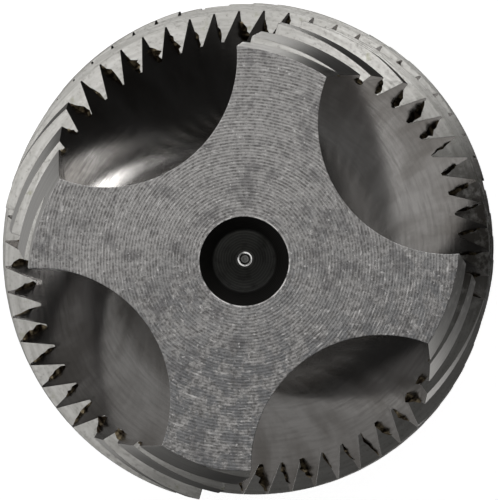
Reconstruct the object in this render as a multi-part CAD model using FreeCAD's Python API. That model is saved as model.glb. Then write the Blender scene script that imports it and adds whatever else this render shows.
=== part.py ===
import FreeCAD, Part
import math
import os

# A taper pipe tap with right-hand spiral flutes, cut from one bar of tool steel.
# It stands on its square drive end at z = 0, with the cutting end up. Lengths are in mm.
# Angles are in degrees, seen from the cutting end and counted from +X towards +Y.

# Lengths from the drive end up
overall_length = 89.5
thread_length = 45.0
square_length = 15.9

# Taper thread, as it would meet the front face with no chamfer
pitch = 25.4 / 14
taper_on_diameter = 1 / 16
front_major_radius = 9.90
thread_height = 1.29
thread_half_angle = 30.0
root_flat = 0.20
root_front_angle = 263.8
back_bevel_angle = 45.0

# Spiral flutes, and the grinding wheel that leaves their run-out in the shank
flute_count = 4
flute_radius = 5.37
flute_centre_radius = 10.13
flute_lead = 115.2
flute_front_angle = 34.0
flute_wheel_radius = 30.0

# Chamfer on the first threads, which falls away behind each cutting edge
chamfer_edge_radius = 8.85
chamfer_angle = 16.4
relief_per_degree = 0.0213

# Shank and square drive
shank_radius = 8.73
across_flats = 13.1
square_shoulder_radius = 3.0
drive_end_chamfer = 1.2

# Centre holes in both ends
centre_mouth_radius = 1.84
centre_pilot_radius = 1.27
centre_hole_depth = 4.4
centre_cone_angle = 60.0
drill_point_angle = 118.0

# How far a cutter reaches past the surface that it opens
overcut = 1.0
groove_overcut = 0.05
section_turn = 7.0

AXIS = FreeCAD.Vector(0, 0, 1)
ORIGIN = FreeCAD.Vector(0, 0, 0)

front_z = overall_length
thread_back_z = overall_length - thread_length
cone_slope = taper_on_diameter / 2
twist_per_mm = 360 / flute_lead
flute_step = 360 / flute_count


def tan(degrees):
    return math.tan(math.radians(degrees))


def at(radius, angle, z):
    turn = math.radians(angle)
    return FreeCAD.Vector(radius * math.cos(turn), radius * math.sin(turn), z)


def turned(outline):
    corners = [FreeCAD.Vector(radius, 0, z) for radius, z in outline]
    face = Part.Face(Part.makePolygon(corners + corners[:1]))
    return face.revolve(ORIGIN, AXIS, 360)


def blank():
    # The thread's cone is widest at its back, where a bevel leads down to the shank.
    back_radius = front_major_radius + cone_slope * thread_length
    bevel_z = thread_back_z - (back_radius - shank_radius) / tan(back_bevel_angle)
    return turned([
        (0, 0),
        (shank_radius - drive_end_chamfer, 0),
        (shank_radius, drive_end_chamfer),
        (shank_radius, bevel_z),
        (back_radius, thread_back_z),
        (front_major_radius, front_z),
        (0, front_z),
    ])


def centre_hole(face_z, inward):
    # A cone for the lathe centre, a pilot bore and the drill's point.
    cone_slope_in = 1 / tan(centre_cone_angle / 2)
    cone_depth = (centre_mouth_radius - centre_pilot_radius) * cone_slope_in
    tip_depth = centre_hole_depth + centre_pilot_radius / tan(drill_point_angle / 2)
    mouth = centre_mouth_radius + overcut / cone_slope_in
    return turned([
        (0, face_z - inward * overcut),
        (mouth, face_z - inward * overcut),
        (centre_pilot_radius, face_z + inward * cone_depth),
        (centre_pilot_radius, face_z + inward * centre_hole_depth),
        (0, face_z + inward * tip_depth),
    ])


def square_flat(angle):
    # One milled flat of the drive square, with a hollow shoulder where the mill stopped.
    near = across_flats / 2
    shoulder = square_shoulder_radius
    far = near + shoulder + shank_radius
    low = FreeCAD.Vector(near, -shank_radius, -overcut)
    start = FreeCAD.Vector(near, -shank_radius, square_length - shoulder)
    end = FreeCAD.Vector(near + shoulder, -shank_radius, square_length)
    bow = shoulder * (1 - math.sqrt(0.5))
    middle = FreeCAD.Vector(near + bow, -shank_radius, square_length - bow)
    top = FreeCAD.Vector(far, -shank_radius, square_length)
    outer = FreeCAD.Vector(far, -shank_radius, -overcut)
    outline = Part.Wire([
        Part.makeLine(low, start),
        Part.Arc(start, middle, end).toShape(),
        Part.makeLine(end, top),
        Part.makeLine(top, outer),
        Part.makeLine(outer, low),
    ])
    cutter = Part.Face(outline).extrude(FreeCAD.Vector(0, 2 * shank_radius, 0))
    cutter.rotate(ORIGIN, AXIS, angle)
    return cutter


def cam_outline(depth):
    # Each land's arc rises towards its cutting edge, and steps down in the next flute.
    half_gap = math.degrees(math.asin(flute_radius / flute_centre_radius))
    edge_radius = chamfer_edge_radius + depth * tan(chamfer_angle)
    arcs = []
    for number in range(flute_count):
        start = flute_front_angle + number * flute_step - twist_per_mm * depth
        edge = start + flute_step - half_gap
        arcs.append([
            at(edge_radius + (angle - edge) * relief_per_degree, angle, front_z - depth)
            for angle in (start, start + flute_step / 2, start + flute_step)
        ])
    edges = []
    for number, arc in enumerate(arcs):
        edges.append(Part.Arc(*arc).toShape())
        edges.append(Part.makeLine(arc[-1], arcs[(number + 1) % flute_count][0]))
    return Part.Wire(edges)


def chamfer_cutter():
    # What is left of a drum once the relieved cone of the chamfered lands is taken out.
    fall = front_major_radius - chamfer_edge_radius + flute_step * relief_per_degree
    depth = fall / (tan(chamfer_angle) - cone_slope)
    depths = [depth, depth * 3 / 4, depth / 2, depth / 4, 0, -overcut]
    cam = Part.makeLoft([cam_outline(here) for here in depths], True, False)
    drum_radius = front_major_radius + thread_length
    base = FreeCAD.Vector(0, 0, front_z - depth)
    return Part.makeCylinder(drum_radius, depth + overcut, base, AXIS).cut(cam)


def flute(front_angle):
    # A round groove that winds up the land, then lifts out of the shank with the wheel.
    top = front_z + overcut
    lift_z = thread_back_z - overcut
    clear_lift = shank_radius + overcut - (flute_centre_radius - flute_radius)
    wheel = flute_wheel_radius
    run_length = math.sqrt(wheel ** 2 - (wheel - clear_lift) ** 2)
    slope = math.hypot(1, math.radians(twist_per_mm) * flute_centre_radius)
    end = lift_z - run_length / slope
    heights = spaced(top, lift_z) + spaced(lift_z, end) + [end]
    sections = []
    for z in heights:
        run = max(lift_z - z, 0) * slope
        lift = wheel - math.sqrt(wheel ** 2 - run ** 2)
        angle = front_angle - twist_per_mm * (front_z - z)
        centre = at(flute_centre_radius + lift, angle, z)
        sections.append(Part.Wire(Part.Circle(centre, AXIS, flute_radius).toShape()))
    return Part.makeLoft(sections, True, False, False, 3)


def spaced(high, low):
    count = math.ceil((high - low) * twist_per_mm / section_turn)
    return [high + (low - high) * step / count for step in range(count)]


def thread_groove():
    # The groove is swept along a cone's helix from above the front face to past the bevel.
    turns_above = 2
    above = turns_above * pitch
    length = above + thread_length + 2 * pitch
    root_radius = front_major_radius - thread_height - cone_slope * above
    helix = Part.makeLongHelix(pitch, length, root_radius, math.degrees(math.atan(cone_slope)))
    reach = thread_height + groove_overcut
    root_half = root_flat / 2
    mouth_half = root_half + reach * tan(thread_half_angle)
    corners = [
        FreeCAD.Vector(root_radius, 0, -root_half),
        FreeCAD.Vector(root_radius + reach, 0, -mouth_half),
        FreeCAD.Vector(root_radius + reach, 0, mouth_half),
        FreeCAD.Vector(root_radius, 0, root_half),
    ]
    profile = Part.makePolygon(corners + corners[:1])
    groove = Part.Wire(helix.Edges).makePipeShell([profile], True, True)
    groove.rotate(ORIGIN, FreeCAD.Vector(1, 0, 0), 180)
    groove.translate(FreeCAD.Vector(0, 0, front_z + above))
    groove.rotate(ORIGIN, AXIS, root_front_angle)
    return groove


def pipe_tap():
    body = blank()
    body = body.cut([centre_hole(front_z, -1), centre_hole(0, 1)])
    body = body.cut([square_flat(angle) for angle in (0, 90, 180, 270)])
    body = body.cut(chamfer_cutter())
    body = body.cut([flute(flute_front_angle + number * flute_step) for number in range(flute_count)])
    body = body.cut(thread_groove())
    return body.Solids[0]


os.makedirs("parts", exist_ok=True)
pipe_tap().exportStep("parts/pipe_tap.step")
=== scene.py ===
import bpy
import bmesh
import math
import random
from mathutils import Matrix, Vector


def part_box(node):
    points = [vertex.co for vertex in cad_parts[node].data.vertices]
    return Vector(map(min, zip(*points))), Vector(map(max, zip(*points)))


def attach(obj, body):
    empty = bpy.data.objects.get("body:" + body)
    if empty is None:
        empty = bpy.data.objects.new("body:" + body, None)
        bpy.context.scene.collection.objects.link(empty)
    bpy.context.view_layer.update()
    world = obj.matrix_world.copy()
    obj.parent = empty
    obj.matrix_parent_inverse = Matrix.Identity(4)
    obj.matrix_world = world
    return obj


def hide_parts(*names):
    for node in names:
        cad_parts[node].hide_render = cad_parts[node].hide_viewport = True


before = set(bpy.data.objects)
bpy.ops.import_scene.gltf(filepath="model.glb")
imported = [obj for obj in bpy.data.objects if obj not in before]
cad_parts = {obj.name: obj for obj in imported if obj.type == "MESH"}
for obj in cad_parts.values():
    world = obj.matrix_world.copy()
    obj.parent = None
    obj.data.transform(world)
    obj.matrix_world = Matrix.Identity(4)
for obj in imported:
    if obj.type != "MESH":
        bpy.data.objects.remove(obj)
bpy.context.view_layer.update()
MM = 0.001


# The cutting end is ground from one bar of tool steel: four lands carry a right-hand taper
# thread, four round flutes wind down between them, and the first threads are chamfered.
# Sizes are in mm, depth is counted down from the front face, and angles are in degrees.
_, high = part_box("pipe_tap")
FRONT_Z = high[2] / MM
THREAD_LENGTH = 45.0
PITCH = 25.4 / 14
CONE_SLOPE = 1 / 32
MAJOR_RADIUS = 9.90
CREST_FLAT = 0.12
THREAD_HEIGHT = 1.29
FLANK_SLOPE = 1 / math.tan(math.radians(30))
CREST_PHASE = 0.2327
FLUTE_RADIUS = 5.37
FLUTE_CENTRE = 10.13
FLUTE_ANGLE = 34.0
TWIST = 360 / 115.2
CHAMFER_RADIUS = 8.85
CHAMFER_SLOPE = math.tan(math.radians(16.4))
RELIEF = 0.0213
LAND_RISE = 0.145
RISE_END = 38.0
RISE_FADE = 6.0
EDGE_ANGLE = 58.0
FIRST_GAP = 31.5
BEVEL_END = 46.35
TURNS = range(-1, 28)
LAND_COLUMNS = 26
FLUTE_COLUMNS = 44
TOUCH = 0.0005


def clamp(share):
    return min(max(share, 0), 1)


def crest_at(depth):
    return MAJOR_RADIUS + CONE_SLOPE * depth


def root_at(depth):
    return crest_at(depth) - THREAD_HEIGHT


def bevel_at(depth):
    return crest_at(THREAD_LENGTH) + THREAD_LENGTH - depth


def chamfer_at(depth, phi):
    return CHAMFER_RADIUS + CHAMFER_SLOPE * depth + RELIEF * (phi - EDGE_ANGLE)


def gap_angle(radius, centre=FLUTE_CENTRE):
    # Half of the angle that a flute takes out of a circle of this radius.
    cosine = (radius ** 2 + centre ** 2 - FLUTE_RADIUS ** 2) / (2 * radius * centre)
    return math.degrees(math.acos(min(max(cosine, -1), 1)))


# One turn of the thread crosses every sector at four depths: where the root ends, where the
# crest starts and ends, and where the next root starts. The chamfer and the bevel cut them.
def thread_depths(turn, base, phi):
    # Offset along the thread = PITCH * rate * depth + start, zero at the crest's middle.
    rate = (1 - PITCH * TWIST / 360) / PITCH
    start = PITCH * ((base + phi) / 360 - CREST_PHASE - turn)
    climb = PITCH * rate
    half_crest = CREST_FLAT / 2
    half_base = half_crest + THREAD_HEIGHT / FLANK_SLOPE
    depths = [(offset - start) / climb for offset in (-half_base, -half_crest, half_crest, half_base)]
    if chamfer_at(depths[1], phi) < crest_at(depths[1]):
        rise = CONE_SLOPE + climb * FLANK_SLOPE - CHAMFER_SLOPE
        gap = chamfer_at(0, phi) - MAJOR_RADIUS - (start + half_crest) * FLANK_SLOPE
        depths[1] = max(gap / rise, depths[0])
    if chamfer_at(depths[2], phi) < crest_at(depths[2]):
        fall = CONE_SLOPE - climb * FLANK_SLOPE - CHAMFER_SLOPE
        gap = chamfer_at(0, phi) - MAJOR_RADIUS + (start - half_crest) * FLANK_SLOPE
        depths[2] = min(gap / fall, depths[3])
    if bevel_at(depths[1]) < crest_at(depths[1]):
        rise = CONE_SLOPE + climb * FLANK_SLOPE + 1
        gap = bevel_at(0) - MAJOR_RADIUS - (start + half_crest) * FLANK_SLOPE
        depths[1] = max(gap / rise, depths[0])
    if bevel_at(depths[2]) < crest_at(depths[2]):
        fall = CONE_SLOPE - climb * FLANK_SLOPE + 1
        gap = bevel_at(0) - MAJOR_RADIUS + (start - half_crest) * FLANK_SLOPE
        depths[2] = min(max(gap / fall, depths[1]), depths[3])
    return depths


def land_radius(depth, phi, row):
    thread = root_at(depth)
    if row in (1, 2):
        # Behind its cutting edge each land's crest falls away a little towards the heel.
        rise = LAND_RISE * clamp((phi - 90 + EDGE_ANGLE) / (2 * EDGE_ANGLE - 90))
        thread = crest_at(depth) + rise * clamp((RISE_END - depth) / RISE_FADE)
    return min(thread, chamfer_at(depth, phi), bevel_at(depth))


def place(radius, phi, sector, depth):
    angle = math.radians(FLUTE_ANGLE + 90 * sector + phi - TWIST * depth)
    return Vector((radius * math.cos(angle), radius * math.sin(angle), FRONT_Z - depth)) * MM


def edge_point(turn, row, sector, side):
    # Where this row meets a flute: side 0 is the land's heel, side 1 its cutting edge.
    base = FLUTE_ANGLE + 90 * sector
    # The radius and the gap's angle depend on each other, so they are found in a few rounds.
    phi = FIRST_GAP if side == 0 else 90 - FIRST_GAP
    for _ in range(4):
        depth = thread_depths(turn, base, phi)[row]
        radius = land_radius(depth, phi, row)
        phi = gap_angle(radius) if side == 0 else 90 - gap_angle(radius)
    return phi, depth, radius


def flute_point(psi, sector, depth):
    # A point of the flute's round section, psi degrees from its deepest line.
    inward = FLUTE_CENTRE - FLUTE_RADIUS * math.cos(math.radians(psi))
    across = FLUTE_RADIUS * math.sin(math.radians(psi))
    return place(math.hypot(inward, across), math.degrees(math.atan2(across, inward)), sector, depth)


def wall_angle(radius, centre=FLUTE_CENTRE):
    # The flute section's own angle where it leaves a body of this radius.
    cosine = (centre ** 2 + FLUTE_RADIUS ** 2 - radius ** 2) / (2 * centre * FLUTE_RADIUS)
    return math.degrees(math.acos(min(max(cosine, -1), 1)))


def between(start, end, part):
    return start + (end - start) * part


# A row of the cutting end runs once round the tap along the thread's helix. Each entry is a
# point, its kind of surface, and its place in mm round the surface and along the axis.
def helix_row(turn, row):
    points = []
    for sector in range(4):
        _, depth_a, radius_a = edge_point(turn, row, sector - 1, 1)
        phi_b, depth_b, radius_b = edge_point(turn, row, sector, 0)
        phi_c, _, _ = edge_point(turn, row, sector, 1)
        psi_a = -wall_angle(radius_a)
        psi_b = wall_angle(radius_b)
        for column in range(FLUTE_COLUMNS):
            part = column / FLUTE_COLUMNS
            psi = between(psi_a, psi_b, part)
            depth = between(depth_a, depth_b, part)
            round_mm = math.radians(psi) * FLUTE_RADIUS
            points.append((flute_point(psi, sector, depth), "flute", round_mm, depth))
        for column in range(LAND_COLUMNS):
            phi = between(phi_b, phi_c, column / LAND_COLUMNS)
            depth = thread_depths(turn, FLUTE_ANGLE + 90 * sector, phi)[row]
            radius = land_radius(depth, phi, row)
            kind = "chamfer" if radius > chamfer_at(depth, phi) - TOUCH else "thread"
            round_mm = math.radians(90 * sector + phi) * MAJOR_RADIUS
            points.append((place(radius, phi, sector, depth), kind, round_mm, depth))
    _, depth, radius = edge_point(turn, row, 3, 1)
    points.append((place(radius, 90 - gap_angle(radius), 3, depth), "flute", 0, depth))
    return points


SURFACES = ["flute", "thread", "chamfer", "face"]
MOUTH_RADIUS = 1.84
MOUTH_POINTS = 128
CREASE_ANGLE = 24


def add_strip(mesh, uv, upper, lower, pick):
    for column in range(len(upper) - 1):
        corners = [lower[column], lower[column + 1], upper[column + 1], upper[column]]
        verts = [corner[0] for corner in corners]
        if len(set(verts)) < 4:
            continue
        face = mesh.faces.new(verts)
        face.material_index = pick(corners, column)
        face.smooth = True
        for loop, corner in zip(face.loops, corners):
            loop[uv].uv = (corner[2], corner[3])


def land_or_flute(corners, column):
    if column % (FLUTE_COLUMNS + LAND_COLUMNS) < FLUTE_COLUMNS:
        return SURFACES.index("flute")
    if all(corner[1] == "chamfer" for corner in corners[:1] + corners[3:]):
        return SURFACES.index("chamfer")
    return SURFACES.index("thread")


def cutting_end_mesh():
    mesh = bmesh.new()
    uv = mesh.loops.layers.uv.new("surface")
    rows = []
    for turn in TURNS:
        for row in range(4):
            rows.append([(mesh.verts.new(point), *rest) for point, *rest in helix_row(turn, row)])
    for upper, lower in zip(rows, rows[1:]):
        add_strip(mesh, uv, upper, lower, land_or_flute)
    bmesh.ops.remove_doubles(mesh, verts=mesh.verts, dist=TOUCH * MM)
    cut_flat(mesh, FRONT_Z * MM, 1)
    cut_flat(mesh, (FRONT_Z - BEVEL_END) * MM, -1)
    close_front(mesh, uv)
    crease(mesh)
    return mesh


def cut_flat(mesh, z, side):
    everything = mesh.verts[:] + mesh.edges[:] + mesh.faces[:]
    bmesh.ops.bisect_plane(
        mesh, geom=everything, dist=1e-8, plane_co=(0, 0, z), plane_no=(0, 0, side), clear_outer=True)


def close_front(mesh, uv):
    z = FRONT_Z * MM
    open_edges = [edge for edge in mesh.edges if edge.is_boundary]
    rim = [edge for edge in open_edges if all(abs(vert.co.z - z) < 1e-7 for vert in edge.verts)]
    mouth = []
    for number in range(MOUTH_POINTS):
        turn = 2 * math.pi * number / MOUTH_POINTS
        corner = Vector((math.cos(turn), math.sin(turn), 0)) * MOUTH_RADIUS * MM
        mouth.append(mesh.verts.new(corner + Vector((0, 0, z))))
    ring = [mesh.edges.new(pair) for pair in zip(mouth, mouth[1:] + mouth[:1])]
    filled = bmesh.ops.triangle_fill(mesh, edges=rim + ring, use_beauty=True, normal=(0, 0, 1))
    for face in filled["geom"]:
        if isinstance(face, bmesh.types.BMFace):
            face.material_index = SURFACES.index("face")
            for loop in face.loops:
                loop[uv].uv = (loop.vert.co.x / MM, loop.vert.co.y / MM)


def crease(mesh):
    mesh.normal_update()
    for edge in mesh.edges:
        if len(edge.link_faces) == 2:
            edge.smooth = edge.calc_face_angle(0) < math.radians(CREASE_ANGLE)


def round_flutes(data):
    # The flutes are shaded along their true round section, whatever rows the teeth give them.
    normals = [normal.vector.copy() for normal in data.corner_normals]
    twist = math.radians(TWIST)
    for face in data.polygons:
        if face.material_index != SURFACES.index("flute"):
            continue
        for loop in face.loop_indices:
            x, y, z = data.vertices[data.loops[loop].vertex_index].co / MM
            middle = FLUTE_ANGLE - TWIST * (FRONT_Z - z)
            sector = round((math.degrees(math.atan2(y, x)) - middle) / 90)
            turn = math.radians(middle + 90 * sector)
            away_x = FLUTE_CENTRE * math.cos(turn) - x
            away_y = FLUTE_CENTRE * math.sin(turn) - y
            normals[loop] = Vector((away_x, away_y, twist * (away_x * y - away_y * x))).normalized()
    data.normals_split_custom_set(normals)


def new_piece(name, mesh, materials):
    data = bpy.data.meshes.new(name)
    mesh.to_mesh(data)
    mesh.free()
    piece = bpy.data.objects.new(name, data)
    bpy.context.scene.collection.objects.link(piece)
    for material in materials:
        data.materials.append(material)
    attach(piece, "root")
    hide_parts("pipe_tap")
    return piece


# The nodes that every finish is mixed from. A patch of painted shade darkens one side of the
# cutting end, round the place that is given here in mm, on the thread and the chamfer.
SHADE_X = 9.9
SHADE_Y = 0.9
SHADE_FULL = 1.6
SHADE_END = 4.6
SHADE_COLOUR = (0.045, 0.038, 0.03)


class Finish:
    # The plain colour and roughness hold where no node is linked over them.
    def __init__(self, name, colour, roughness):
        self.material = bpy.data.materials.new(name)
        self.material.use_nodes = True
        self.nodes = self.material.node_tree.nodes
        self.links = self.material.node_tree.links
        self.shader = self.nodes["Principled BSDF"]
        self.give(self.shader.inputs["Base Color"], colour)
        self.give(self.shader.inputs["Metallic"], 1)
        self.give(self.shader.inputs["Roughness"], roughness)

    def add(self, kind, **settings):
        node = self.nodes.new(kind)
        for key, value in settings.items():
            setattr(node, key, value)
        return node

    def give(self, socket, value):
        # A number or a colour is set, and a node's output is linked.
        if isinstance(value, tuple):
            socket.default_value = (*value, 1)
        elif isinstance(value, (int, float)):
            socket.default_value = value
        else:
            self.links.new(value, socket)

    def math(self, operation, first, second=0.0):
        node = self.add("ShaderNodeMath", operation=operation)
        self.give(node.inputs[0], first)
        self.give(node.inputs[1], second)
        return node.outputs[0]

    def place_mm(self):
        # Place on the tap in mm, the same on every piece.
        geometry = self.add("ShaderNodeTexCoord").outputs["Object"]
        scale = self.add("ShaderNodeVectorMath", operation="SCALE")
        self.give(scale.inputs[0], geometry)
        self.give(scale.inputs["Scale"], 1 / MM)
        return scale.outputs[0]

    def axes_mm(self):
        return self.split(self.place_mm())

    def split(self, vector):
        parts = self.add("ShaderNodeSeparateXYZ")
        self.give(parts.inputs[0], vector)
        return parts.outputs

    def polar_mm(self):
        # Radius from the axis, angle round it, and height.
        x, y, z = self.axes_mm()
        return self.length(x, y), self.math("ARCTAN2", y, x), z

    def length(self, x, y):
        square = self.math("ADD", self.math("MULTIPLY", x, x), self.math("MULTIPLY", y, y))
        return self.math("SQRT", square)

    def painted_shade(self, colour, amount):
        # Painted shade: a dark, patchy patch laid over one side of the cutting end.
        x, y, _ = self.axes_mm()
        away = self.length(self.math("SUBTRACT", x, SHADE_X), self.math("SUBTRACT", y, SHADE_Y))
        wide = self.ramp(away, SHADE_FULL, SHADE_END, 1.0, 0.0)
        patchy = self.ramp(self.noise(self.place_mm(), 1.8, 4, 0.6), 0.30, 0.52)
        patch_mask = self.math("MULTIPLY", self.math("MULTIPLY", wide, patchy), amount)
        return self.mix(patch_mask, colour, SHADE_COLOUR)

    def vector(self, x, y, z=0.0):
        node = self.add("ShaderNodeCombineXYZ")
        for socket, value in zip(node.inputs, (x, y, z)):
            self.give(socket, value)
        return node.outputs[0]

    def surface(self, across, along):
        # The piece's own map, in mm round and along the surface, stretched to a grain.
        round_mm, depth_mm, _ = self.split(self.add("ShaderNodeUVMap", uv_map="surface").outputs[0])
        wide = self.math("MULTIPLY", round_mm, across)
        long = self.math("MULTIPLY", depth_mm, along)
        return self.vector(wide, long)

    def noise(self, vector, scale, detail=4.0, rough=0.55):
        node = self.add("ShaderNodeTexNoise")
        self.give(node.inputs["Vector"], vector)
        self.give(node.inputs["Scale"], scale)
        self.give(node.inputs["Detail"], detail)
        self.give(node.inputs["Roughness"], rough)
        return node.outputs[0]

    def ramp(self, value, low, high, start=0.0, end=1.0):
        node = self.add("ShaderNodeMapRange")
        self.give(node.inputs["Value"], value)
        self.give(node.inputs["From Min"], low)
        self.give(node.inputs["From Max"], high)
        self.give(node.inputs["To Min"], start)
        self.give(node.inputs["To Max"], end)
        return node.outputs[0]

    def mix(self, amount, first, second):
        node = self.add("ShaderNodeMix", data_type="RGBA")
        self.give(node.inputs[0], amount)
        self.give(node.inputs[6], first)
        self.give(node.inputs[7], second)
        return node.outputs[2]

    def bump(self, height, depth_mm, below=None):
        node = self.add("ShaderNodeBump")
        self.give(node.inputs["Distance"], depth_mm * MM)
        self.give(node.inputs["Height"], height)
        if below is not None:
            self.give(node.inputs["Normal"], below)
        return node.outputs[0]

    def worn_edges(self, width_mm):
        # Every sharp edge is rubbed round by this much, and catches the light.
        node = self.add("ShaderNodeBevel", samples=6)
        self.give(node.inputs["Radius"], width_mm * MM)
        return node.outputs[0]

    def colour(self, output):
        self.give(self.shader.inputs["Base Color"], output)

    def roughness(self, output):
        self.give(self.shader.inputs["Roughness"], output)

    def normal(self, output):
        self.give(self.shader.inputs["Normal"], output)


# The front face is faced off in a lathe and left bare: fine rings 0.13 mm apart, light
# specks, and a bluish crackled stain where oil has dried over half of it. Painted highlights
# lie on the rings on one side, in thin bright arcs, in small sparkles and round the hole.
RING_PITCH = 0.127
FACE_FRESH = (0.28, 0.27, 0.262)
FACE_STALE = (0.22, 0.215, 0.21)
FACE_SPECK = (0.51, 0.495, 0.485)
FACE_MOTTLE = (0.57, 0.555, 0.54)
FACE_FLAKE = (0.20, 0.207, 0.218)
FACE_GRAIN = (0.12, 0.115, 0.11)
FACE_RING_HIGHLIGHT = (0.70, 0.685, 0.67)
FACE_ARC_HIGHLIGHT = (0.86, 0.84, 0.82)
FACE_STAIN = (0.16, 0.155, 0.158)
FACE_GLINT = (0.95, 0.93, 0.91)
MOUTH_HIGHLIGHT = (1.0, 0.98, 0.96)


def turned_face():
    finish = Finish("turned_face", (0.36, 0.355, 0.35), 0.42)
    radius, turn, _ = finish.polar_mm()
    spot = finish.place_mm()
    waver = finish.math("MULTIPLY", finish.noise(spot, 0.5), 4.0)
    phase = finish.math("ADD", finish.math("MULTIPLY", radius, 2 * math.pi / RING_PITCH), waver)
    ring = finish.math("SINE", phase)
    # Painted highlight: thin bright arcs that follow the rings.
    arc_highlight_place = finish.vector(finish.math("MULTIPLY", turn, 10), finish.math("MULTIPLY", radius, 9))
    arc_highlight = finish.noise(arc_highlight_place, 1.0, 3, 0.6)
    speck = finish.noise(spot, 5.5, 3, 0.6)
    stain = finish.noise(spot, 1.1, 8, 0.7)
    worn = finish.noise(spot, 0.3, 3)
    mottle = finish.noise(spot, 3.2, 3, 0.7)
    # The rings carry a painted highlight, strongest on one side, and a dull crackled stain lies over
    # the other.
    x, y, _ = finish.axes_mm()
    across = finish.math("SUBTRACT", finish.math("MULTIPLY", x, 0.2), y)
    side = finish.math("ADD", across, finish.math("MULTIPLY", worn, 14.0))
    stale = finish.ramp(side, 5.0, 12.0)
    ring_highlight_side = finish.ramp(side, 3.0, 11.0, 0.7, 0.15)
    flake = finish.ramp(finish.noise(spot, 1.6, 4, 0.65), 0.485, 0.515)
    deep = finish.mix(stale, FACE_FRESH, FACE_STALE)
    fine = finish.mix(finish.ramp(speck, 0.42, 0.58), deep, FACE_SPECK)
    mottled = finish.mix(finish.ramp(mottle, 0.44, 0.60, 0.0, 0.5), fine, FACE_MOTTLE)
    flaked = finish.math("MULTIPLY", finish.math("MULTIPLY", flake, stale), 0.7)
    base = finish.mix(flaked, mottled, FACE_FLAKE)
    # Painted highlight: the rings are painted bright, more on one side than on the other.
    ring_highlight = finish.math("MULTIPLY", finish.ramp(ring, 0.1, 0.9), ring_highlight_side)
    grain = finish.noise(spot, 13.0, 2, 0.6)
    grained = finish.mix(finish.ramp(grain, 0.50, 0.66, 0.0, 0.6), base, FACE_GRAIN)
    ring_highlighted = finish.mix(ring_highlight, grained, FACE_RING_HIGHLIGHT)
    arc_highlighted = finish.mix(finish.ramp(arc_highlight, 0.58, 0.72, 0.0, 0.9), ring_highlighted, FACE_ARC_HIGHLIGHT)
    stained = finish.mix(finish.ramp(stain, 0.52, 0.62, 0.0, 0.5), arc_highlighted, FACE_STAIN)
    # Painted glints: small near-white sparkles.
    glint_noise = finish.noise(spot, 7.5, 1, 0.5)
    glinted = finish.mix(finish.ramp(glint_noise, 0.68, 0.76, 0.0, 0.6), stained, FACE_GLINT)
    # A painted highlight lies as a bright broken edge round the centre hole.
    off_mouth = finish.math("ABSOLUTE", finish.math("SUBTRACT", radius, MOUTH_RADIUS + 0.02))
    broken_highlight = finish.ramp(finish.noise(spot, 2.2, 2), 0.44, 0.56)
    edge = finish.math("MULTIPLY", finish.ramp(off_mouth, 0.015, 0.045, 1.0, 0.0), broken_highlight)
    finish.colour(finish.mix(edge, glinted, MOUTH_HIGHLIGHT))
    finish.roughness(finish.ramp(arc_highlight, 0.3, 0.75, 0.46, 0.34))
    rings = finish.bump(ring, 0.0016, finish.worn_edges(0.05))
    finish.normal(finish.bump(speck, 0.005, rings))
    return finish.material


# The flutes are ground and polished along their length, with fine dark streaks.
FLUTE_DARK = (0.17, 0.155, 0.14)
FLUTE_LIGHT = (0.30, 0.285, 0.27)
FLUTE_STREAK = (0.10, 0.09, 0.08)


def polished_flute():
    finish = Finish("polished_flute", (0.25, 0.235, 0.22), 0.24)
    streak = finish.noise(finish.surface(7.0, 0.35), 1.0, 5)
    lapped = finish.noise(finish.surface(14.0, 1.6), 1.0, 3)
    cloud = finish.noise(finish.place_mm(), 0.35, 4)
    tone = finish.mix(finish.ramp(cloud, 0.38, 0.62), FLUTE_DARK, FLUTE_LIGHT)
    finish.colour(finish.mix(finish.ramp(streak, 0.42, 0.7, 0, 0.35), tone, FLUTE_STREAK))
    finish.roughness(finish.ramp(streak, 0.3, 0.7, 0.17, 0.27))
    finish.normal(finish.bump(streak, 0.0022, finish.bump(lapped, 0.0015)))
    return finish.material


# The thread is ground round the helix, with fine lines along it and greenish specks of oil.
THREAD_DARK = (0.40, 0.39, 0.365)
THREAD_LIGHT = (0.58, 0.57, 0.545)
THREAD_FLECK = (0.24, 0.23, 0.21)
GREEN_OIL = (0.27, 0.27, 0.18)


def ground_thread():
    finish = Finish("ground_thread", (0.50, 0.49, 0.465), 0.36)
    line = finish.noise(finish.surface(0.5, 9.0), 1.0, 4)
    fleck = finish.noise(finish.place_mm(), 6.0, 3, 0.7)
    dirt = finish.noise(finish.place_mm(), 1.3, 6, 0.6)
    tone = finish.mix(finish.ramp(line, 0.3, 0.7), THREAD_DARK, THREAD_LIGHT)
    flecked = finish.mix(finish.ramp(fleck, 0.56, 0.7, 0, 0.5), tone, THREAD_FLECK)
    greened = finish.mix(finish.ramp(dirt, 0.64, 0.72, 0, 0.6), flecked, GREEN_OIL)
    # One side of the thread is darkened by painted shade.
    finish.colour(finish.painted_shade(greened, 0.85))
    finish.roughness(finish.ramp(fleck, 0.4, 0.7, 0.32, 0.5))
    finish.normal(finish.bump(fleck, 0.006, finish.bump(line, 0.005, finish.worn_edges(0.04))))
    return finish.material


# The chamfer's bands are ground once more, and are smoother and brighter than the thread.
CHAMFER_DARK = (0.50, 0.485, 0.46)
CHAMFER_LIGHT = (0.66, 0.645, 0.62)


def ground_chamfer():
    finish = Finish("ground_chamfer", (0.60, 0.58, 0.55), 0.3)
    line = finish.noise(finish.surface(0.25, 12.0), 1.0, 4)
    tone = finish.mix(finish.ramp(line, 0.3, 0.7), CHAMFER_DARK, CHAMFER_LIGHT)
    # One side of the chamfer is darkened by painted shade.
    finish.colour(finish.painted_shade(tone, 0.7))
    finish.normal(finish.bump(line, 0.003, finish.worn_edges(0.04)))
    return finish.material


cutting_end = new_piece(
    "cutting_end", cutting_end_mesh(),
    [polished_flute(), ground_thread(), ground_chamfer(), turned_face()])
round_flutes(cutting_end.data)


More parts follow.
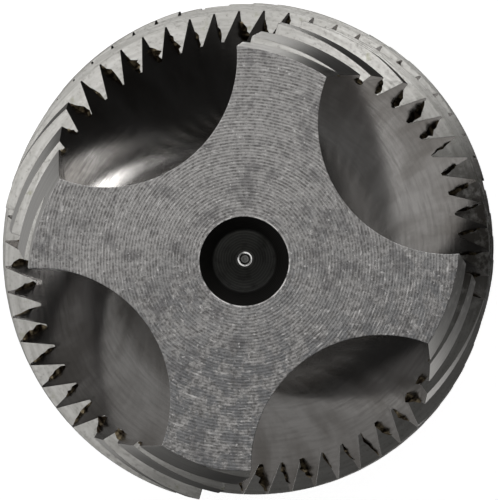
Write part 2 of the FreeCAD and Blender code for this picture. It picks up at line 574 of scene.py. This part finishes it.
# Grinding the flutes left a ragged burr on the back of each tooth's heel, from the thread's
# root upwards. It sticks out into the flute and has caught brown cutting oil.
BURR_LENGTH = 0.33
BURR_THICKNESS = 0.09
BURR_LENGTH_SHARE = (0.25, 1.2)
BURR_REACH = (0.55, 0.95)
BURR_RAGGED = (0.5, 1.15)
BURR_FOOT = 0.03
BURR_FOOT_ANGLE = 0.3
TIP_WAVER = 0.05
TIP_FORWARD = 0.13
BURR_OIL = (0.035, 0.026, 0.018)
BURR_STEEL = (0.34, 0.28, 0.18)
BURR_STATIONS = 7
BURR_TURNS = range(25)
FIRST_BURR = 0.8
LAST_BURR = THREAD_LENGTH - 1
chance = random.Random(14)


def burr_rows(turn, sector):
    crest_phi, crest_depth, crest_radius = edge_point(turn, 2, sector, 0)
    root_phi, root_depth, root_radius = edge_point(turn, 3, sector, 0)
    length = BURR_LENGTH * chance.uniform(*BURR_LENGTH_SHARE)
    reach = chance.uniform(*BURR_REACH)
    rows = []
    for station in range(BURR_STATIONS):
        part = station / (BURR_STATIONS - 1)
        along = 1 - reach * part
        radius = between(crest_radius, root_radius, along)
        depth = between(crest_depth, root_depth, along)
        phi = between(crest_phi, root_phi, along)
        bulge = length * math.sin(math.pi * (part * 0.8 + 0.15)) * chance.uniform(*BURR_RAGGED)
        tip_phi = phi - math.degrees(bulge / radius)
        tip_radius = radius + chance.uniform(-TIP_WAVER, TIP_WAVER)
        tip_depth = depth - chance.uniform(0, TIP_FORWARD)
        foot_phi = phi + BURR_FOOT_ANGLE
        rows.append([
            place(radius - BURR_FOOT, foot_phi, sector, depth - BURR_THICKNESS),
            place(radius - BURR_FOOT, foot_phi, sector, depth + BURR_THICKNESS / 2),
            place(tip_radius, tip_phi, sector, tip_depth),
        ])
    return rows


def burr_mesh():
    mesh = bmesh.new()
    for turn in BURR_TURNS:
        for sector in range(4):
            _, depth, _ = edge_point(turn, 2, sector, 0)
            if depth < FIRST_BURR or depth > LAST_BURR:
                continue
            rings = [[mesh.verts.new(point) for point in row] for row in burr_rows(turn, sector)]
            for upper, lower in zip(rings, rings[1:]):
                for corner in range(3):
                    after = (corner + 1) % 3
                    mesh.faces.new([upper[corner], upper[after], lower[after], lower[corner]])
            mesh.faces.new(rings[0][::-1])
            mesh.faces.new(rings[-1])
    bmesh.ops.recalc_face_normals(mesh, faces=mesh.faces)
    return mesh


def oily_burr():
    finish = Finish("oily_burr", (0.08, 0.06, 0.04), 0.4)
    patch_mask = finish.noise(finish.place_mm(), 3.5, 4)
    finish.colour(finish.mix(finish.ramp(patch_mask, 0.45, 0.68), BURR_OIL, BURR_STEEL))
    finish.roughness(finish.ramp(patch_mask, 0.3, 0.7, 0.3, 0.55))
    finish.normal(finish.bump(patch_mask, 0.02))
    return finish.material


new_piece("heel_burrs", burr_mesh(), [oily_burr()])


# The front centre hole holds the bar between centres while it is turned and ground: a 60
# degree cone, a drilled pilot and the drill's point, all dark inside. The cone's near black
# is painted shade, and a small bright ring at the bottom is a painted highlight.
HOLE_OUTLINE = [
    (MOUTH_RADIUS, 0.0), (1.27, 0.987), (1.27, 4.4),
    (0.33, 4.93), (0.30, 4.88), (0.23, 4.87), (0.20, 4.92), (0.16, 4.99), (0.0, 5.02),
]
BORE_RING_PITCH = 0.17
POINT_HIGHLIGHT_RADIUS = 0.265
BORE_DARK = (0.30, 0.30, 0.29)
BORE_LIGHT = (0.46, 0.46, 0.44)
BORE_GRIME = (0.16, 0.16, 0.15)
CONE_SHADE = (0.06, 0.058, 0.055)
POINT_HIGHLIGHT = (1.0, 0.99, 0.97)


def hole_mesh(face_z, inward):
    # The hole goes down from the front face where inward is 1, and up from the drive end at -1.
    mesh = bmesh.new()
    uv = mesh.loops.layers.uv.new("surface")
    rows = []
    for radius, depth in HOLE_OUTLINE:
        row = []
        for number in range(MOUTH_POINTS + 1):
            turn = 2 * math.pi * (number % MOUTH_POINTS) / MOUTH_POINTS
            z = face_z - inward * depth
            point = Vector((radius * math.cos(turn), radius * math.sin(turn), z)) * MM
            row.append((mesh.verts.new(point), "hole", turn * radius, depth))
        rows.append(row)
    for upper, lower in zip(rows, rows[1:]):
        order = (lower, upper) if inward > 0 else (upper, lower)
        add_strip(mesh, uv, *order, lambda corners, column: 0)
    bmesh.ops.remove_doubles(mesh, verts=mesh.verts, dist=TOUCH * MM)
    crease(mesh)
    return mesh


def drilled_hole():
    finish = Finish("drilled_hole", (0.10, 0.095, 0.09), 0.42)
    radius, turn, z = finish.polar_mm()
    waver = finish.noise(finish.place_mm(), 1.2, 4)
    turns = finish.math("MULTIPLY", finish.math("ADD", radius, z), 2 * math.pi / BORE_RING_PITCH)
    ring = finish.math("SINE", finish.math("ADD", turns, finish.math("MULTIPLY", waver, 6.0)))
    grime = finish.noise(finish.place_mm(), 2.0, 6)
    clean = finish.mix(finish.ramp(ring, 0.5, 1.0), BORE_DARK, BORE_LIGHT)
    bore = finish.mix(finish.ramp(grime, 0.5, 0.68, 0.0, 0.7), clean, BORE_GRIME)
    # The cone is painted dark as shade, and a small ring at the drill's point is painted bright as a
    # highlight.
    cone_shade_mask = finish.ramp(radius, 1.24, 1.34)
    cone_shaded = finish.mix(cone_shade_mask, bore, CONE_SHADE)
    # Painted highlight: a bright crescent ring at the bottom of the hole.
    off_ring = finish.math("ABSOLUTE", finish.math("SUBTRACT", radius, POINT_HIGHLIGHT_RADIUS))
    open_side = finish.math("COSINE", finish.math("ADD", turn, math.pi / 4))
    crescent_highlight = finish.ramp(open_side, -0.95, -0.7, 0.15, 1.0)
    point_highlight = finish.math("MULTIPLY", finish.ramp(off_ring, 0.03, 0.05, 1.0, 0.0), crescent_highlight)
    finish.colour(finish.mix(point_highlight, cone_shaded, POINT_HIGHLIGHT))
    finish.roughness(finish.ramp(point_highlight, 0.0, 1.0, 0.42, 0.1))
    finish.normal(finish.bump(ring, 0.0025, finish.bump(grime, 0.012)))
    return finish.material


new_piece("front_centre_hole", hole_mesh(FRONT_Z, 1), [drilled_hole()])


# The shank is turned and ground round, the flutes run out in it, and four milled flats at
# its end make the square that a tap wrench drives.
SHANK_RADIUS = 8.73
FLAT_DISTANCE = 6.55
SHOULDER_RADIUS = 3.0
SQUARE_TOP = 15.9
END_CHAMFER = 1.2
WHEEL_RADIUS = 30.0
LIFT_DEPTH = THREAD_LENGTH + 1.0
FREE_HEIGHT = 30.0
RUN_OUT_END = 26.0
SQUARE_HEIGHT = 17.0
# Where the shank is round, the columns of a flute or flat still span this half angle.
LEAST_GAP = 6.0
RUN_OUT_ROWS = 40
FREE_ROWS = 8
SHOULDER_ROWS = 18
SQUARE_ROWS = 6
END_ROWS = 4
SHANK_DARK = (0.42, 0.41, 0.40)
SHANK_LIGHT = (0.58, 0.57, 0.55)
SHANK_STAIN = (0.28, 0.25, 0.22)


def lifted_centre(depth):
    slope = math.hypot(1, math.radians(TWIST) * FLUTE_CENTRE)
    run = min(max(depth - LIFT_DEPTH, 0) * slope, WHEEL_RADIUS)
    return FLUTE_CENTRE + WHEEL_RADIUS - math.sqrt(WHEEL_RADIUS ** 2 - run ** 2)


def body_radius(z):
    if z < END_CHAMFER:
        return SHANK_RADIUS - END_CHAMFER + z
    return max(SHANK_RADIUS, bevel_at(FRONT_Z - z))


def shank_ring(z):
    # Angle and radius over a quarter turn, counted from the middle of each flute or flat.
    depth = FRONT_Z - z
    body = body_radius(z)
    points = []
    if z > RUN_OUT_END:
        centre = lifted_centre(depth)
        half = max(gap_angle(body, centre), LEAST_GAP)
        psi_end = wall_angle(body, centre)
        deep = gap_angle(body, centre) >= LEAST_GAP
        for column in range(FLUTE_COLUMNS + 1):
            side = 2 * column / FLUTE_COLUMNS - 1
            if deep:
                psi = math.radians(side * psi_end)
                inward = centre - FLUTE_RADIUS * math.cos(psi)
                across = FLUTE_RADIUS * math.sin(psi)
                points.append((math.degrees(math.atan2(across, inward)), math.hypot(inward, across)))
            else:
                phi = side * half
                reach = FLUTE_RADIUS ** 2 - (centre * math.sin(math.radians(phi))) ** 2
                near = centre * math.cos(math.radians(phi)) - math.sqrt(max(reach, 0))
                points.append((phi, min(body, near)))
    else:
        rise = max(z - (SQUARE_TOP - SHOULDER_RADIUS), 0)
        flat = FLAT_DISTANCE + SHOULDER_RADIUS - math.sqrt(max(SHOULDER_RADIUS ** 2 - rise ** 2, 0))
        if z > SQUARE_TOP:
            flat = body
        half = max(math.degrees(math.acos(min(flat / body, 1))), LEAST_GAP)
        for column in range(FLUTE_COLUMNS + 1):
            phi = (2 * column / FLUTE_COLUMNS - 1) * half
            points.append((phi, min(body, flat / math.cos(math.radians(phi)))))
    last = points[-1][0]
    for column in range(1, LAND_COLUMNS):
        points.append((between(last, 90 - last, column / LAND_COLUMNS), body))
    return points


def middle_angle(z):
    # The flutes' twist stops once they are out, and the rows turn on to the square's flats.
    free_angle = FLUTE_ANGLE - TWIST * (FRONT_Z - FREE_HEIGHT)
    square_angle = 90 * round(free_angle / 90)
    if z > FREE_HEIGHT:
        return FLUTE_ANGLE - TWIST * (FRONT_Z - z)
    part = clamp((FREE_HEIGHT - z) / (FREE_HEIGHT - SQUARE_HEIGHT))
    return between(free_angle, square_angle, part)


def shank_row(mesh, z, shrink=None):
    row = []
    for quarter in range(4):
        for phi, radius in shank_ring(z):
            reach = radius if shrink is None else between(radius, MOUTH_RADIUS, shrink)
            turn = math.radians(middle_angle(z) + 90 * quarter + phi)
            point = Vector((reach * math.cos(turn), reach * math.sin(turn), z)) * MM
            in_flute = z > RUN_OUT_END and radius < body_radius(z) - 0.002
            kind = "flute" if in_flute else "shank"
            along = z if shrink is None else reach
            row.append((mesh.verts.new(point), kind, turn * SHANK_RADIUS, along))
    row.append((mesh.verts.new(row[0][0].co), "shank", row[-1][2], row[0][3]))
    return row


def shank_heights():
    bevel_z = FRONT_Z - THREAD_LENGTH - (crest_at(THREAD_LENGTH) - SHANK_RADIUS)
    top = FRONT_Z - BEVEL_END
    shoulder_z = SQUARE_TOP - SHOULDER_RADIUS
    heights = [top, bevel_z] + spaced(bevel_z, RUN_OUT_END, RUN_OUT_ROWS)
    heights += spaced(RUN_OUT_END, SQUARE_HEIGHT, FREE_ROWS)
    heights += [SQUARE_TOP + 0.001]
    for angle in spaced(90, 0, SHOULDER_ROWS):
        heights.append(shoulder_z + SHOULDER_RADIUS * math.sin(math.radians(angle)))
    heights += spaced(shoulder_z, END_CHAMFER, SQUARE_ROWS)
    return heights + [0.0]


def spaced(start, end, count):
    return [between(start, end, step / count) for step in range(1, count + 1)]


def shank_mesh():
    mesh = bmesh.new()
    uv = mesh.loops.layers.uv.new("surface")
    rows = [shank_row(mesh, z) for z in shank_heights()]
    rows += [shank_row(mesh, 0.0, shrink) for shrink in spaced(0, 1, END_ROWS)]
    for upper, lower in zip(rows, rows[1:]):
        add_strip(mesh, uv, upper, lower, run_out_or_shank)
    bmesh.ops.remove_doubles(mesh, verts=mesh.verts, dist=TOUCH * MM)
    crease(mesh)
    return mesh


def run_out_or_shank(corners, column):
    # The flutes keep their own polish where they run out in the shank.
    return 1 if any(corner[1] == "flute" for corner in corners) else 0


def ground_shank():
    finish = Finish("ground_shank", (0.50, 0.49, 0.48), 0.34)
    line = finish.noise(finish.surface(0.3, 10.0), 1.0, 5)
    stain = finish.noise(finish.place_mm(), 0.4, 6)
    tone = finish.mix(finish.ramp(line, 0.3, 0.7), SHANK_DARK, SHANK_LIGHT)
    finish.colour(finish.mix(finish.ramp(stain, 0.55, 0.75, 0, 0.5), tone, SHANK_STAIN))
    finish.normal(finish.bump(line, 0.004))
    return finish.material


new_piece("shank_and_square", shank_mesh(), [ground_shank(), polished_flute()])


# The drive end has a centre hole of the same form, drilled for the lathe's other centre.
# The photo doesn't show it.
new_piece("drive_centre_hole", hole_mesh(0.0, -1), [drilled_hole()])


# A small white table and soft light, strongest from the upper left, as in the photo. The
# reflectors and fills stand low, so that the flutes mirror light where the photo's do.
CAMERA_HEIGHT = 336.5
CAMERA_PLACE = (2.03, 6.16)
AIM_PLACE = (0.20, 0.46)
VIEW_WIDTH = 20.53
SENSOR_WIDTH = 36
TABLE_RADIUS = 0.03
TABLE_GLOW = 0.7
WORLD_LOW = 0.02
WORLD_HIGH = 0.09


def white_table():
    mesh = bmesh.new()
    bmesh.ops.create_circle(mesh, cap_ends=True, segments=96, radius=TABLE_RADIUS)
    data = bpy.data.meshes.new("table")
    mesh.to_mesh(data)
    mesh.free()
    table = bpy.data.objects.new("table", data)
    bpy.context.scene.collection.objects.link(table)
    paint = Finish("white_table", (0.8, 0.8, 0.8), 0.9)
    paint.give(paint.shader.inputs["Metallic"], 0)
    # The table glows to the eye and in the steel's reflections, so that its white is even.
    path = paint.add("ShaderNodeLightPath")
    mirrored = paint.math("MAXIMUM", path.outputs["Is Glossy Ray"], path.outputs["Is Transmission Ray"])
    seen = paint.math("MAXIMUM", path.outputs["Is Camera Ray"], mirrored)
    glow = paint.add("ShaderNodeEmission")
    paint.give(glow.inputs["Strength"], paint.math("MULTIPLY", seen, TABLE_GLOW))
    both = paint.add("ShaderNodeAddShader")
    paint.give(both.inputs[0], paint.shader.outputs[0])
    paint.give(both.inputs[1], glow.outputs[0])
    paint.give(paint.nodes["Material Output"].inputs["Surface"], both.outputs[0])
    data.materials.append(paint.material)


def soft_light(name, azimuth, elevation, distance, size, glow):
    # A round panel of this plain brightness, facing the tap's cutting end.
    data = bpy.data.lights.new(name, "AREA")
    data.shape = "DISK"
    data.size = size
    data.energy = glow * (math.pi * size / 2) ** 2
    light = bpy.data.objects.new(name, data)
    light.visible_camera = False
    bpy.context.scene.collection.objects.link(light)
    aim = Vector((0, 0, FRONT_Z * MM))
    turn = math.radians(azimuth)
    lift = math.radians(elevation)
    way = Vector((math.cos(lift) * math.cos(turn), math.cos(lift) * math.sin(turn), math.sin(lift)))
    light.location = aim + way * distance
    light.rotation_euler = way.to_track_quat("Z", "Y").to_euler()


def studio():
    scene = bpy.context.scene
    world = bpy.data.worlds.new("studio")
    world.use_nodes = True
    scene.world = world
    # The room is dim above the horizon and darker below it.
    nodes = world.node_tree.nodes
    links = world.node_tree.links
    height = nodes.new("ShaderNodeSeparateXYZ")
    links.new(nodes.new("ShaderNodeTexCoord").outputs["Generated"], height.inputs[0])
    fade = nodes.new("ShaderNodeMapRange")
    links.new(height.outputs["Z"], fade.inputs["Value"])
    fade.inputs["From Min"].default_value = -0.1
    fade.inputs["From Max"].default_value = 0.1
    fade.inputs["To Min"].default_value = WORLD_LOW
    fade.inputs["To Max"].default_value = WORLD_HIGH
    background = nodes["Background"]
    background.inputs[0].default_value = (1, 1, 1, 1)
    links.new(fade.outputs[0], background.inputs[1])
    # Each lamp's azimuth, elevation, distance, diameter and brightness.
    soft_light("window", 78, 33, 0.6, 0.7, 0.97)
    soft_light("left_panel", 143, 30, 0.6, 0.7, 1.1)
    soft_light("low_panel", 212, 28, 0.6, 0.65, 0.75)
    soft_light("overhead", 140, 82, 0.9, 0.6, 0.65)
    soft_light("left_reflector", 188, -36, 0.6, 0.85, 0.36)
    soft_light("right_reflector", 300, -34, 0.6, 0.5, 0.66)
    soft_light("right_window", 46, 34, 0.6, 0.35, 0.95)
    soft_light("right_fill", 340, -52, 0.6, 0.4, 0.14)
    soft_light("left_fill", 127, -38, 0.6, 0.25, 0.2)
    soft_light("low_fill", 239, -39, 0.6, 0.25, 0.14)
    soft_light("glint", 95, -52.5, 0.3, 0.052, 7)
    soft_light("glint_halo", 76, -42, 0.3, 0.07, 1.7)
    scene.view_settings.view_transform = "Standard"


def photo_camera():
    data = bpy.data.cameras.new("camera")
    data.sensor_width = SENSOR_WIDTH
    data.lens = SENSOR_WIDTH * CAMERA_HEIGHT / VIEW_WIDTH
    data.clip_end = 10
    camera = bpy.data.objects.new("camera", data)
    bpy.context.scene.collection.objects.link(camera)
    eye = Vector((*CAMERA_PLACE, FRONT_Z + CAMERA_HEIGHT)) * MM
    aim = Vector((*AIM_PLACE, FRONT_Z)) * MM
    back = (eye - aim).normalized()
    right = Vector((0, 1, 0)).cross(back).normalized()
    up = back.cross(right)
    turn = Matrix((right, up, back)).transposed().to_4x4()
    camera.matrix_world = Matrix.Translation(eye) @ turn
    bpy.context.scene.camera = camera


white_table()
studio()
photo_camera()
